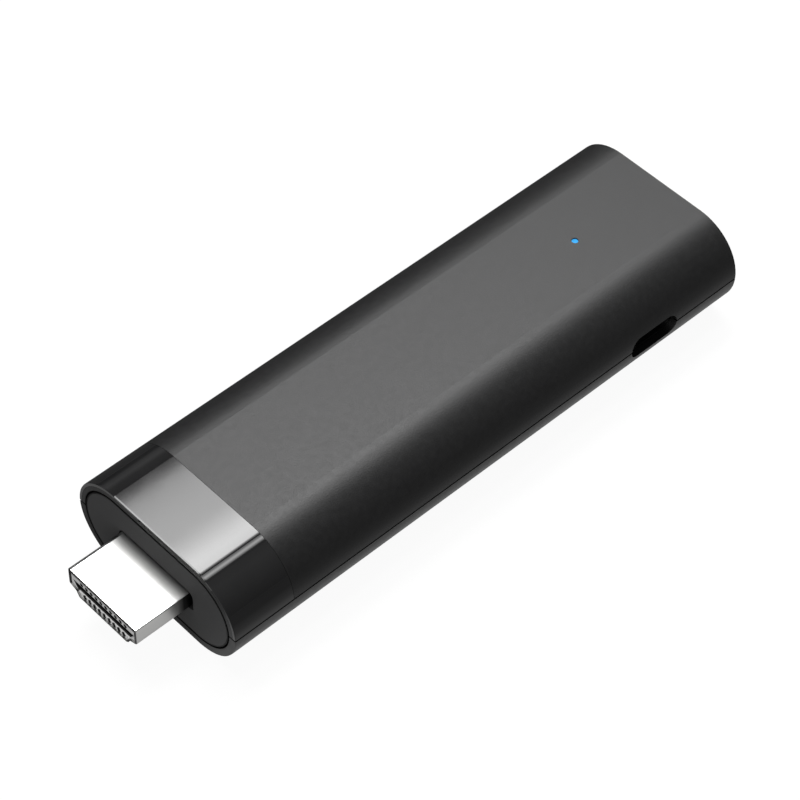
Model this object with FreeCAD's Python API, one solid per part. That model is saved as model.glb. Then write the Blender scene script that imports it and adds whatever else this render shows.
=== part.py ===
import FreeCAD, Part
import math
import os

# Streaming stick, built in millimetres as it is assembled.
# X runs along the stick: the video plug points to -X, the plain end is at +X.
# The long side with the power opening faces -Y. Z = 0 is the flat underside.
# The origin is the centre of the stick's overall box, at the underside.

# Housing: a stadium section with a flat top and bottom and half-round sides
body_length = 96.4
body_width = 32.0
body_height = 16.0
wall = 1.2
rear_wall = 1.4
rear_edge_bevel = 0.15
lip_bevel_length = 0.2
lip_bevel_drop = 0.045

# Parting line at half height: a shadow gap outside, a tongue and rebate inside
shadow_gap = 0.3
tongue_thickness = 0.5
tongue_height = 0.7
tongue_clearance = 0.05

# End plate: grooved all round and trapped by a rib on both shells
plate_gap = 0.3
plate_front_flange = 1.3
plate_rear_flange = 1.0
rib_thickness = 0.8
rib_height = 1.2
groove_clearance = 0.05

# Gloss band: a thin half ring bonded in a rebate over the front of the upper shell
band_length = 10.2
band_thickness = 0.5
band_seam = 0.05
bond_gap = 0.04

# Video plug: a folded sheet shell round a slotted insulator
plug_reach = 9.2
plug_inside = 6.8
plug_width = 13.9
plug_height = 4.45
plug_drop = 0.62
plug_sheet = 0.3
plug_top_radius = 0.15
plug_side_height = 2.95
plug_ledge_width = 1.4
plug_ledge_drop = 0.5
plug_bottom_width = 10.0
plug_step_radius = 0.35
plug_foot_radius = 0.5
plug_front_bevel = 0.12
plug_leg_length = 5.0
plug_leg_height = 2.2
plug_hole_side_gap = 0.6
plug_hole_top_gap = 0.2
plug_hole_foot_gap = 0.3
plug_hole_radius = 1.0

# Slot and contacts of the video plug
insulator_setback = 0.25
insulator_clearance = 0.03
slot_below_top = 1.94
slot_height = 1.22
slot_width = 12.4
slot_foot_width = 10.6
slot_depth = 7.0
slot_chamfer = 0.3
slot_front_wall = 0.7
contact_pitch = 1.0
upper_contact_count = 10
lower_contact_count = 9
contact_width = 0.4
contact_thickness = 0.2
contact_hole_diameter = 0.48
upper_hole_above_slot = 0.45
lower_hole_below_slot = 0.6
contact_tip_setback = 1.1
contact_crest_setback = 2.8
contact_root_setback = 5.6
contact_crest_rise = 0.15
contact_channel_clearance = 0.08
contact_channel_runout = 0.6
contact_tail_length = 1.8

# Circuit board
board_thickness = 1.2
board_below_plug = 0.155
board_side_gap = 1.8
board_corner_clip = 1.2
board_front_gap = 0.2
board_rear_gap = 1.7
leg_slot_clearance = 0.05

# Board screws and the bosses under the board
screw_shank_diameter = 1.6
screw_hole_clearance = 0.2
screw_head_diameter = 3.4
screw_head_height = 1.0
screw_drive_diameter = 1.5
screw_drive_slot = 0.5
screw_drive_depth = 0.6
screw_length = 5.0
boss_diameter = 4.2
screw_edge_distance = 3.2
front_screw_from_lid = 4.75
rear_screw_from_edge = 9.1

# Ribs that carry the board from below and hold it down from above
support_rib_thickness = 1.0
support_rib_reach = 2.0
hold_down_gap = 0.1
ribs_from_front = (9.6, 51.2)
ribs_from_rear = (25.8, 8.8)

# Snap hooks on the upper shell
hooks_from_front = (14.1, 39.6)
hooks_from_rear = (32.8,)
hook_width = 4.0
hook_thickness = 0.8
hook_board_gap = 0.2
hook_catch_drop = 1.2
hook_tip_drop = 2.1
hook_barb = 0.75
hook_root_rise = 1.2
hook_root_height = 1.4
hook_clearance = 0.1

# Power socket in the -Y side, centred on the parting line
socket_from_rear = 17.25
socket_width = 8.94
socket_height = 3.26
socket_sheet = 0.3
socket_depth = 7.35
socket_mouth_gap = 0.05
socket_clearance = 0.2
socket_base_depth = 1.8
socket_fit = 0.02
socket_ear_width = 1.2
socket_ear_length = 1.4
socket_ear_spacing = 3.6
tongue_blade_width = 6.7
tongue_blade_thickness = 0.7
tongue_blade_setback = 1.0
power_contact_count = 12
power_contact_pitch = 0.5
power_contact_width = 0.2
power_contact_thickness = 0.08
power_contact_setback = 1.6
power_contact_tail = 1.6

# Status light: a clear pipe from the board's lamp to a hole in the top
light_from_rear = 17.95
light_hole_diameter = 1.05
light_recess = 0.2
light_fit = 0.025
light_flange_size = 2.6
light_flange_height = 0.9
light_stem_size = 1.8
light_stem_gap = 0.3
light_frame_wall = 0.75
light_frame_height = 1.4
lamp_length = 1.6
lamp_width = 0.8
lamp_height = 0.6

# Reset switch under the board, reached through a pinhole in the underside
reset_from_rear = 30.8
pinhole_diameter = 1.2
guide_wall = 0.9
guide_gap = 0.3
switch_size = 3.6
switch_floor = 0.3
switch_roof = 0.3
plunger_diameter = 1.5
plunger_clearance = 0.05
plunger_reach = 0.8
plunger_collar_diameter = 2.0
plunger_collar_height = 0.3
plunger_travel = 0.25
dome_room = 0.2

# Shielded processor group and its heat path
shield_from_board_edge = 8.35
shield_length = 28.0
shield_width = 22.0
shield_height = 1.6
shield_sheet = 0.2
shield_flange = 0.9
lid_skirt = 1.1
lid_clearance = 0.05
processor_size = 14.0
processor_height = 1.2
processor_from_shield_end = 9.5
memory_length = 7.5
memory_width = 9.5
memory_height = 1.0
memory_from_shield_end = 5.0
memory_spacing = 10.6
chip_pad_size = 13.0
lid_pad_length = 20.0
lid_pad_width = 16.0
lid_pad_thickness = 1.0
spreader_length = 42.0
spreader_width = 20.0
spreader_thickness = 0.8
spreader_corner_clip = 1.5
peg_shoulder_diameter = 2.8
peg_pin_diameter = 1.6
peg_head_diameter = 2.4
peg_head_height = 0.4
peg_hole_clearance = 0.05
peg_inset = 2.6

# Other parts on the board
storage_from_shield_centre = 1.5
storage_from_edge = 10.6
storage_length = 11.5
storage_width = 13.0
storage_height = 1.0
radio_from_light = 8.05
radio_edge_distance = 7.6
radio_size = 12.0
radio_board_height = 0.6
radio_can_height = 1.2
radio_can_inset = 0.6
inductors_from_socket = (16.15, 10.75)
inductor_from_edge = 5.0
inductor_size = 4.0
inductor_height = 2.0
inductor_corner_clip = 0.7
regulator_from_shield_centre = 8.0
regulator_from_edge = 6.0
regulator_size = 3.0
regulator_height = 0.9
crystal_from_socket = 18.0
crystal_from_edge = 9.6
crystal_length = 3.2
crystal_width = 2.5
crystal_height = 0.8
crystal_lid_inset = 0.2
crystal_lid_height = 0.2
capacitor_length = 1.6
capacitor_width = 0.8
capacitor_height = 0.8
front_capacitor_count = 7
front_capacitor_pitch = 2.9
front_capacitor_gap = 2.2
power_capacitor_count = 5
power_capacitor_pitch = 3.1
power_capacitor_from_edge = 7.6
power_capacitors_from_socket = 15.0

# Two stamped aerials on the rear edge of the board
aerial_length = 4.0
aerial_width = 8.6
aerial_height = 3.0
aerial_sheet = 0.3
aerial_side_gap = 1.4
aerial_leg_width = 1.2
aerial_feed_offset = 2.4
aerial_edge_gap = 1.0

# Places worked out from the sizes above
half_width = body_width / 2
half_height = body_height / 2
half_flat = half_width - half_height
overall_length = body_length + plug_reach
front_x = plug_reach - overall_length / 2
rear_x = front_x + body_length
parting_z = half_height
roof_z = body_height - wall
floor_z = wall
plug_tip_x = front_x - plug_reach
plug_end_x = front_x + plug_inside
plug_z = parting_z - plug_drop
plug_top_z = plug_z + plug_height / 2
slot_top_z = plug_top_z - slot_below_top
slot_foot_z = slot_top_z - slot_height
upper_hole_z = slot_top_z + upper_hole_above_slot
lower_hole_z = slot_foot_z - lower_hole_below_slot
board_z = plug_z - board_below_plug
board_top_z = board_z + board_thickness / 2
board_foot_z = board_z - board_thickness / 2
board_front_x = plug_end_x + board_front_gap
board_rear_x = rear_x - rear_wall - board_rear_gap
board_half = half_width - wall - board_side_gap
socket_x = rear_x - socket_from_rear
socket_mouth_y = -(half_width - wall - socket_mouth_gap)
socket_end_y = socket_mouth_y + socket_depth
light_x = rear_x - light_from_rear
reset_x = rear_x - reset_from_rear
shield_front_x = board_front_x + shield_from_board_edge
shield_x = shield_front_x + shield_length / 2
shield_rear_x = shield_front_x + shield_length
processor_x = shield_front_x + processor_from_shield_end
memory_x = shield_rear_x - memory_from_shield_end
lid_top_z = board_top_z + shield_height + shield_sheet
spreader_foot_z = lid_top_z + lid_pad_thickness
switch_height = (switch_floor + plunger_clearance + plunger_collar_height + plunger_travel
                 + dome_room + switch_roof)
far = 2 * overall_length
past = 1.0
edge_tolerance = 0.0001


def vec(x, y, z):
    return FreeCAD.Vector(x, y, z)


def block(x0, x1, y0, y1, z0, z1):
    return Part.makeBox(x1 - x0, y1 - y0, z1 - z0, vec(x0, y0, z0))


def post(x, y, z0, z1, diameter):
    return Part.makeCylinder(diameter / 2, z1 - z0, vec(x, y, z0))


def along_x(position):
    return lambda u, v: vec(position, u, v)


def along_y(position):
    return lambda u, v: vec(u, position, v)


def along_z(position):
    return lambda u, v: vec(u, v, position)


def rounded_face(corners, place):
    # Each corner is (u, v, radius); a radius of zero leaves the corner sharp.
    edges = []
    starts = []
    ends = []
    middles = []
    for index, (u, v, radius) in enumerate(corners):
        u0, v0, _ = corners[index - 1]
        u1, v1, _ = corners[(index + 1) % len(corners)]
        corner = FreeCAD.Vector(u, v, 0)
        back = (FreeCAD.Vector(u0, v0, 0) - corner).normalize()
        ahead = (FreeCAD.Vector(u1, v1, 0) - corner).normalize()
        half_angle = back.getAngle(ahead) / 2
        reach = radius / math.tan(half_angle)
        inward = (back + ahead).normalize()
        depth = radius / math.sin(half_angle) - radius
        starts.append(corner + back * reach)
        ends.append(corner + ahead * reach)
        middles.append(corner + inward * depth)
    for index, (u, v, radius) in enumerate(corners):
        start = place(starts[index].x, starts[index].y)
        end = place(ends[index].x, ends[index].y)
        middle = place(middles[index].x, middles[index].y)
        if radius > 0:
            edges.append(Part.Arc(start, middle, end).toShape())
        following = starts[(index + 1) % len(corners)]
        edges.append(Part.makeLine(end, place(following.x, following.y)))
    return Part.Face(Part.Wire(edges))


def clipped_plate(x0, x1, y0, y1, z0, z1, clip):
    # A flat plate whose four corners are cut off at 45 degrees.
    outline = [
        (x0 + clip, y0, 0),
        (x1 - clip, y0, 0),
        (x1, y0 + clip, 0),
        (x1, y1 - clip, 0),
        (x1 - clip, y1, 0),
        (x0 + clip, y1, 0),
        (x0, y1 - clip, 0),
        (x0, y0 + clip, 0),
    ]
    return rounded_face(outline, along_z(z0)).extrude(vec(0, 0, z1 - z0))


def chip(x, y, length, width, z0, height):
    return block(x - length / 2, x + length / 2, y - width / 2, y + width / 2, z0, z0 + height)


def stadium_face(centre_a, centre_b, radius, place):
    # A slot shape whose two round ends are centred at u = centre_a and centre_b.
    top = Part.makeLine(place(centre_a, radius), place(centre_b, radius))
    right = Part.Arc(place(centre_b, radius), place(centre_b + radius, 0), place(centre_b, -radius)).toShape()
    foot = Part.makeLine(place(centre_b, -radius), place(centre_a, -radius))
    left = Part.Arc(place(centre_a, -radius), place(centre_a - radius, 0), place(centre_a, radius)).toShape()
    return Part.Face(Part.Wire([top, right, foot, left]))


def housing_section(inset, x0, x1):
    # The housing's outline moved inwards by inset, from x0 to x1.
    def place(u, v):
        return vec(x0, u, parting_z + v)
    face = stadium_face(-half_flat, half_flat, half_height - inset, place)
    return face.extrude(vec(x1 - x0, 0, 0))


def edges_at_x(solid, x):
    found = []
    for edge in solid.Edges:
        box = edge.BoundBox
        if abs(box.XMin - x) < edge_tolerance and abs(box.XMax - x) < edge_tolerance:
            found.append(edge)
    return found


def both_sides(solid):
    return [solid, solid.mirror(vec(0, 0, 0), vec(0, 1, 0))]


def save(name, solids):
    shape = solids[0] if len(solids) == 1 else Part.makeCompound(solids)
    shape.exportStep("parts/" + name + ".step")
    print(name, len(shape.Solids), "solids", round(shape.Volume, 3), "mm3", shape.isValid())


# Housing

def with_lip_bevel(solid):
    # A shallow lead-in round the front edge of the housing and the gloss band.
    return solid.makeChamfer(lip_bevel_length, lip_bevel_drop, edges_at_x(solid, front_x))


def housing_tube():
    outside = housing_section(0, front_x, rear_x)
    outside = outside.makeChamfer(rear_edge_bevel, edges_at_x(outside, rear_x))
    outside = with_lip_bevel(outside)
    inside = housing_section(wall, front_x - wall, rear_x - rear_wall)
    tube = outside.cut(inside)
    rib_x = front_x + plate_front_flange + groove_clearance
    rib = housing_section(wall / 2, rib_x, rib_x + rib_thickness)
    rib = rib.cut(housing_section(wall + rib_height, rib_x - past, rib_x + rib_thickness + past))
    return tube.fuse(rib).removeSplitter()


def within_walls(solid):
    # Ribs and bosses are trimmed so that they end inside the wall.
    return solid.common(housing_section(wall / 2, front_x + wall, rear_x - rear_wall / 2))


def tongue_plan(grow, z0, z1):
    # The area inside the tongue's outer face, behind the end plate.
    start = front_x + plate_front_flange + rib_thickness + plate_rear_flange + wall - grow
    side = half_width - (wall - tongue_thickness) + grow
    end = rear_x - (wall - tongue_thickness) + grow
    return block(start, end, -side, side, z0, z1)


def power_opening():
    radius = socket_height / 2 + socket_clearance
    reach = (socket_width - socket_height) / 2
    y0 = -half_width - wall
    y1 = socket_mouth_y - socket_mouth_gap / 2 + wall / 2

    def place(u, v):
        return vec(u, y0, parting_z + v)
    face = stadium_face(socket_x - reach, socket_x + reach, radius, place)
    return face.extrude(vec(0, y1 - y0, 0))


def places_along(from_front, from_rear):
    return [front_x + gap for gap in from_front] + [rear_x - gap for gap in from_rear]


def hook_face_y():
    return board_half + hook_board_gap


def snap_hook(x):
    # A flexible arm that hangs from the upper wall, with a barb that catches below.
    inner = hook_face_y()
    outer = inner + hook_thickness
    catch_z = parting_z - hook_catch_drop
    tip_z = parting_z - hook_tip_drop
    root_z = parting_z + hook_root_rise
    outline = [
        (inner, tip_z, 0),
        (outer, tip_z, 0),
        (outer + hook_barb, catch_z - hook_clearance * 2, 0),
        (outer + hook_barb, catch_z, 0),
        (outer, catch_z, 0),
        (outer, root_z, 0),
        (half_width, root_z, 0),
        (half_width, root_z + hook_root_height, 0),
        (inner, root_z + hook_root_height, 0),
    ]
    arm = rounded_face(outline, along_x(x - hook_width / 2)).extrude(vec(hook_width, 0, 0))
    return within_walls(arm)


def hook_pocket(x):
    half = hook_width / 2 + hook_clearance
    outer = hook_face_y() + hook_thickness + hook_barb + hook_clearance
    z0 = parting_z - hook_tip_drop - hook_clearance
    z1 = parting_z - hook_catch_drop + hook_clearance / 2
    return block(x - half, x + half, board_half, outer, z0, z1)


def hold_down_rib(x):
    half = support_rib_thickness / 2
    inner = board_half - support_rib_reach / 2
    tongue_side = half_width - wall - tongue_clearance * 2
    clear_z = parting_z + tongue_height + tongue_clearance * 2
    lower = block(x - half, x + half, inner, tongue_side, board_top_z + hold_down_gap, clear_z)
    upper = block(x - half, x + half, inner, half_width, clear_z, body_height)
    return within_walls(lower.fuse(upper))


def board_rib(x):
    half = support_rib_thickness / 2
    inner = board_half - support_rib_reach
    return within_walls(block(x - half, x + half, inner, half_width, 0, board_foot_z))


def peg_places():
    # The spreader hangs on two pegs, at opposite corners.
    half_x = spreader_length / 2 - peg_inset
    half_y = spreader_width / 2 - peg_inset
    return ((shield_x - half_x, -half_y), (shield_x + half_x, half_y))


def spreader_peg(x, y):
    # A shoulder peg with a pin whose end is staked over under the spreader.
    top_of_plate = spreader_foot_z + spreader_thickness
    shoulder = post(x, y, top_of_plate, roof_z + wall / 2, peg_shoulder_diameter)
    pin = post(x, y, spreader_foot_z - peg_head_height, top_of_plate, peg_pin_diameter)
    head = post(x, y, spreader_foot_z - peg_head_height, spreader_foot_z, peg_head_diameter)
    return shoulder.fuse([pin, head])


def light_frame():
    # A square frame under the roof that holds the flange of the light pipe.
    inner = light_flange_size + 2 * light_fit
    outer = inner + 2 * light_frame_wall
    frame = chip(light_x, 0, outer, outer, roof_z - light_frame_height, light_frame_height + wall / 2)
    return frame.cut(chip(light_x, 0, inner, inner, roof_z - light_frame_height - past,
                          light_frame_height + past))


def upper_shell(tube):
    shell = tube.common(block(-far, far, -far, far, parting_z + shadow_gap / 2, far))
    shell = shell.cut(tongue_plan(tongue_clearance, 0, parting_z + tongue_height + tongue_clearance))
    details = [light_frame()]
    for x in places_along(hooks_from_front, hooks_from_rear):
        details.extend(both_sides(snap_hook(x)))
    for x in places_along(ribs_from_front, ribs_from_rear):
        details.extend(both_sides(hold_down_rib(x)))
    for x, y in peg_places():
        details.append(spreader_peg(x, y))
    shell = shell.fuse(details)
    rebate_end = front_x + band_length + band_seam
    rebate = block(front_x - past, rebate_end, -far, far, 0, far)
    rebate = rebate.cut(housing_section(band_thickness + bond_gap, front_x - 2 * past, rebate_end + past))
    shell = shell.cut(rebate)
    shell = shell.cut(post(light_x, 0, roof_z - past, body_height + past, light_hole_diameter))
    return shell.cut(power_opening()).removeSplitter()


def screw_places():
    edge = board_half - screw_edge_distance
    front_place = shield_rear_x + front_screw_from_lid
    rear_place = board_rear_x - rear_screw_from_edge
    return ((front_place, -edge), (rear_place, edge))


def lower_shell(tube):
    top = parting_z - shadow_gap / 2
    shell = tube.common(block(-far, far, -far, far, -far, top))
    tongue = tongue_plan(0, top - wall, parting_z + tongue_height)
    tongue = tongue.cut(block(-far, rear_x - rear_wall, wall - half_width, half_width - wall, 0, far))
    details = [tongue]
    for x, y in screw_places():
        details.append(within_walls(post(x, y, 0, board_foot_z, boss_diameter)))
    for x in places_along(ribs_from_front, ribs_from_rear):
        details.extend(both_sides(board_rib(x)))
    guide_diameter = pinhole_diameter + 2 * guide_wall
    guide_top = board_foot_z - switch_height - plunger_reach - guide_gap
    details.append(post(reset_x, 0, floor_z / 2, guide_top, guide_diameter))
    shell = shell.fuse(details)
    for x, y in screw_places():
        hole_foot = board_top_z - screw_length
        shell = shell.cut(post(x, y, hole_foot, board_foot_z + past, screw_shank_diameter))
    for x in places_along(hooks_from_front, hooks_from_rear):
        for pocket in both_sides(hook_pocket(x)):
            shell = shell.cut(pocket)
    shell = shell.cut(post(reset_x, 0, -past, guide_top + past, pinhole_diameter))
    return shell.cut(power_opening()).removeSplitter()


def gloss_band():
    end = front_x + band_length
    band = with_lip_bevel(housing_section(0, front_x, end))
    band = band.cut(housing_section(band_thickness, front_x - past, end + past))
    return band.common(block(-far, far, -far, far, parting_z + shadow_gap / 2, far))


def plug_hole(x0, x1):
    # Follows the plug, with round upper corners that come close to its sheet.
    half = plug_width / 2 + plug_hole_side_gap
    top = plug_top_z + plug_hole_top_gap
    foot = plug_top_z - plug_height - plug_hole_foot_gap
    ledge = plug_top_z - plug_side_height - plug_hole_foot_gap
    half_foot = plug_bottom_width / 2 + plug_hole_side_gap
    outline = [
        (-half, top, plug_hole_radius),
        (-half, ledge, plug_step_radius),
        (-half_foot, ledge - plug_ledge_drop, plug_step_radius),
        (-half_foot, foot, plug_foot_radius),
        (half_foot, foot, plug_foot_radius),
        (half_foot, ledge - plug_ledge_drop, plug_step_radius),
        (half, ledge, plug_step_radius),
        (half, top, plug_hole_radius),
    ]
    return rounded_face(outline, along_x(x0)).extrude(vec(x1 - x0, 0, 0))


def front_end_plate():
    flange_end = front_x + plate_front_flange
    neck_end = flange_end + rib_thickness + 2 * groove_clearance
    rear_end = neck_end + plate_rear_flange
    front = housing_section(wall + plate_gap, front_x, flange_end)
    neck = housing_section(wall + rib_height + groove_clearance, flange_end, neck_end)
    rear = housing_section(wall + plate_gap, neck_end, rear_end)
    body = front.fuse([neck, rear]).removeSplitter()
    return body.cut(plug_hole(front_x - past, rear_end + past))


# Video plug

def plug_outline():
    # The sheet is folded down at the sides, steps in, and closes under the plug.
    half = plug_width / 2
    ledge = plug_top_z - plug_side_height
    foot = plug_top_z - plug_height
    half_foot = plug_bottom_width / 2
    step = half - plug_ledge_width
    return [
        (-half, plug_top_z, plug_top_radius),
        (-half, ledge, plug_step_radius),
        (-step, ledge - plug_ledge_drop, plug_step_radius),
        (-half_foot, foot, plug_foot_radius),
        (half_foot, foot, plug_foot_radius),
        (step, ledge - plug_ledge_drop, plug_step_radius),
        (half, ledge, plug_step_radius),
        (half, plug_top_z, plug_top_radius),
    ]


def plug_section(inset, x0, x1):
    face = rounded_face(plug_outline(), along_x(x0))
    if inset > 0:
        face = Part.Face(face.OuterWire.makeOffset2D(-inset))
    return face.extrude(vec(x1 - x0, 0, 0))


def plug_leg():
    half = plug_width / 2
    return block(plug_end_x - past, board_front_x + plug_leg_length, half - plug_sheet, half,
                 board_z - plug_leg_height / 2, board_z + plug_leg_height / 2)


def video_plug_shell():
    outside = plug_section(0, plug_tip_x, plug_end_x)
    outside = outside.makeChamfer(plug_front_bevel, edges_at_x(outside, plug_tip_x))
    shell = outside.cut(plug_section(plug_sheet, plug_tip_x - past, plug_end_x + past))
    return shell.fuse(both_sides(plug_leg())).removeSplitter()


def contact_row(count):
    first = -(count - 1) * contact_pitch / 2
    return [first + index * contact_pitch for index in range(count)]


def contact_strip(line, y):
    # A flat strip whose middle line runs through the (x, z) points given.
    half = contact_thickness / 2
    upper = [(x, z + half, 0) for x, z in line]
    lower = [(x, z - half, 0) for x, z in reversed(line)]
    face = rounded_face(upper + lower, along_y(y - contact_width / 2))
    return face.extrude(vec(0, contact_width, 0))


def upper_contacts():
    tail_z = board_top_z + contact_thickness / 2
    line = [
        (plug_tip_x + contact_tip_setback, upper_hole_z),
        (plug_tip_x + contact_crest_setback, slot_top_z - contact_crest_rise),
        (plug_tip_x + contact_root_setback, tail_z),
        (board_front_x + contact_tail_length, tail_z),
    ]
    return [contact_strip(line, y) for y in contact_row(upper_contact_count)]


def lower_contacts():
    tail_z = board_foot_z - contact_thickness / 2
    line = [
        (plug_tip_x + contact_tip_setback, lower_hole_z),
        (plug_tip_x + contact_crest_setback, slot_foot_z + contact_crest_rise),
        (plug_tip_x + contact_root_setback, lower_hole_z),
        (plug_tip_x + slot_depth, lower_hole_z),
        (plug_end_x - wall, tail_z),
        (board_front_x + contact_tail_length, tail_z),
    ]
    return [contact_strip(line, y) for y in contact_row(lower_contact_count)]


def plug_slot():
    face_x = plug_tip_x + insulator_setback
    half_top = slot_width / 2
    half_foot = slot_foot_width / 2
    outline = [
        (-half_top, slot_top_z, 0),
        (-half_foot, slot_foot_z, 0),
        (half_foot, slot_foot_z, 0),
        (half_top, slot_top_z, 0),
    ]
    slot = rounded_face(outline, along_x(face_x - past)).extrude(vec(slot_depth + past, 0, 0))
    bevel_outline = [
        (face_x + slot_chamfer, slot_foot_z, 0),
        (face_x - slot_chamfer, slot_foot_z - 2 * slot_chamfer, 0),
        (face_x - slot_chamfer, slot_foot_z, 0),
    ]
    bevel = rounded_face(bevel_outline, along_y(-half_foot)).extrude(vec(0, slot_foot_width, 0))
    return slot.fuse(bevel)


def eight_sided_hole(y, z, x0, x1):
    radius = contact_hole_diameter / 2 / math.cos(math.pi / 8)
    corners = []
    for index in range(8):
        angle = (index + 0.5) * math.pi / 4
        corners.append((y + radius * math.cos(angle), z + radius * math.sin(angle), 0))
    return rounded_face(corners, along_x(x0)).extrude(vec(x1 - x0, 0, 0))


def contact_cavity(y, hole_z, slot_z):
    # An eight-sided hole in the front wall that opens into the channel of one contact.
    face_x = plug_tip_x + insulator_setback
    hole = eight_sided_hole(y, hole_z, face_x - past / 2, face_x + slot_front_wall + past / 2)
    half = contact_width / 2 + contact_channel_clearance
    outward = 1 if hole_z > slot_z else -1
    far_z = hole_z + outward * contact_hole_diameter / 2
    near_z = slot_z - outward * contact_crest_rise / 2
    channel_end = plug_tip_x + contact_root_setback + contact_channel_runout
    channel = block(face_x + slot_front_wall, channel_end, y - half, y + half,
                    min(far_z, near_z), max(far_z, near_z))
    return hole.fuse(channel)


def video_plug_insulator(contacts):
    body = plug_section(plug_sheet + insulator_clearance, plug_tip_x + insulator_setback, plug_end_x)
    body = body.cut(plug_slot())
    cavities = [contact_cavity(y, upper_hole_z, slot_top_z) for y in contact_row(upper_contact_count)]
    cavities += [contact_cavity(y, lower_hole_z, slot_foot_z) for y in contact_row(lower_contact_count)]
    return body.cut(cavities).cut(contacts)


# Circuit board

def circuit_board():
    board = clipped_plate(board_front_x, board_rear_x, -board_half, board_half, board_foot_z,
                          board_top_z, board_corner_clip)
    half = plug_width / 2
    leg_slot = block(board_front_x - past, board_front_x + plug_leg_length + leg_slot_clearance,
                     half - plug_sheet, half + leg_slot_clearance, board_foot_z - past,
                     board_top_z + past)
    half_cut = socket_width / 2 + socket_clearance
    cut_end = socket_end_y + power_contact_tail / 2 + socket_clearance
    socket_cut = block(socket_x - half_cut, socket_x + half_cut, -board_half - past, cut_end,
                       board_foot_z - past, board_top_z + past)
    cutters = both_sides(leg_slot) + [socket_cut]
    for x, y in screw_places():
        hole = screw_shank_diameter + 2 * screw_hole_clearance
        cutters.append(post(x, y, board_foot_z - past, board_top_z + past, hole))
    return board.cut(cutters)


def board_screw(x, y):
    shank = post(x, y, board_top_z - screw_length, board_top_z, screw_shank_diameter)
    head = post(x, y, board_top_z, board_top_z + screw_head_height, screw_head_diameter)
    drive_foot = board_top_z + screw_head_height - screw_drive_depth
    arm = screw_drive_diameter / 2
    thin = screw_drive_slot / 2
    screw = shank.fuse(head)
    screw = screw.cut(block(x - arm, x + arm, y - thin, y + thin, drive_foot, far))
    return screw.cut(block(x - thin, x + thin, y - arm, y + arm, drive_foot, far)).removeSplitter()


def processor():
    return chip(processor_x, 0, processor_size, processor_size, board_top_z, processor_height)


def memory_chips():
    chips = []
    for y in (-memory_spacing / 2, memory_spacing / 2):
        chips.append(chip(memory_x, y, memory_length, memory_width, board_top_z, memory_height))
    return chips


def shield_frame():
    outer = chip(shield_x, 0, shield_length, shield_width, board_top_z, shield_height)
    inner = chip(shield_x, 0, shield_length - 2 * shield_sheet, shield_width - 2 * shield_sheet,
                 board_top_z - past, shield_height + past - shield_sheet)
    window = chip(shield_x, 0, shield_length - 2 * shield_flange, shield_width - 2 * shield_flange,
                  board_top_z, shield_height + past)
    return outer.cut([inner, window])


def shield_lid():
    grow = 2 * (lid_clearance + shield_sheet)
    foot = lid_top_z - shield_sheet - lid_skirt
    outer = chip(shield_x, 0, shield_length + grow, shield_width + grow, foot, lid_top_z - foot)
    inner = chip(shield_x, 0, shield_length + 2 * lid_clearance, shield_width + 2 * lid_clearance,
                 foot - past, lid_skirt + past)
    return outer.cut(inner)


def thermal_pads():
    chip_top = board_top_z + processor_height
    lid_foot = lid_top_z - shield_sheet
    inner = chip(processor_x, 0, chip_pad_size, chip_pad_size, chip_top, lid_foot - chip_top)
    outer = chip(shield_x, 0, lid_pad_length, lid_pad_width, lid_top_z, lid_pad_thickness)
    return [inner, outer]


def heat_spreader():
    half_x = spreader_length / 2
    half_y = spreader_width / 2
    sheet = clipped_plate(shield_x - half_x, shield_x + half_x, -half_y, half_y, spreader_foot_z,
                          spreader_foot_z + spreader_thickness, spreader_corner_clip)
    holes = []
    for x, y in peg_places():
        holes.append(post(x, y, 0, far, peg_pin_diameter + 2 * peg_hole_clearance))
    return sheet.cut(holes)


def storage_chip():
    x = shield_x - storage_from_shield_centre
    y = board_half - storage_from_edge
    return chip(x, y, storage_length, storage_width, board_foot_z - storage_height, storage_height)


def radio_module():
    x = light_x - radio_from_light
    y = board_half - radio_edge_distance
    base = chip(x, y, radio_size, radio_size, board_top_z, radio_board_height)
    can_size = radio_size - 2 * radio_can_inset
    can = chip(x, y, can_size, can_size, board_top_z + radio_board_height, radio_can_height)
    return base.fuse(can).removeSplitter()


def power_inductors():
    half = inductor_size / 2
    coils = []
    y = inductor_from_edge - board_half
    for gap in inductors_from_socket:
        x = socket_x - gap
        coils.append(clipped_plate(x - half, x + half, y - half, y + half, board_top_z,
                                   board_top_z + inductor_height, inductor_corner_clip))
    return coils


def voltage_regulator():
    x = shield_x + regulator_from_shield_centre
    y = regulator_from_edge - board_half
    return chip(x, y, regulator_size, regulator_size, board_foot_z - regulator_height, regulator_height)


def crystal():
    x = socket_x - crystal_from_socket
    y = crystal_from_edge - board_half
    can = chip(x, y, crystal_length, crystal_width, board_top_z, crystal_height)
    lid = chip(x, y, crystal_length - 2 * crystal_lid_inset,
               crystal_width - 2 * crystal_lid_inset, board_top_z + crystal_height, crystal_lid_height)
    return can.fuse(lid).removeSplitter()


def capacitors():
    parts = []
    front_row = board_front_x + contact_tail_length + front_capacitor_gap
    for index in range(front_capacitor_count):
        y = (index - (front_capacitor_count - 1) / 2) * front_capacitor_pitch
        parts.append(chip(front_row, y, capacitor_length, capacitor_width, board_top_z, capacitor_height))
    for index in range(power_capacitor_count):
        x = socket_x - power_capacitors_from_socket - index * power_capacitor_pitch
        y = power_capacitor_from_edge - board_half - capacitor_width
        parts.append(chip(x, y, capacitor_width, capacitor_length,
                          board_foot_z - capacitor_height, capacitor_height))
    return parts


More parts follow.
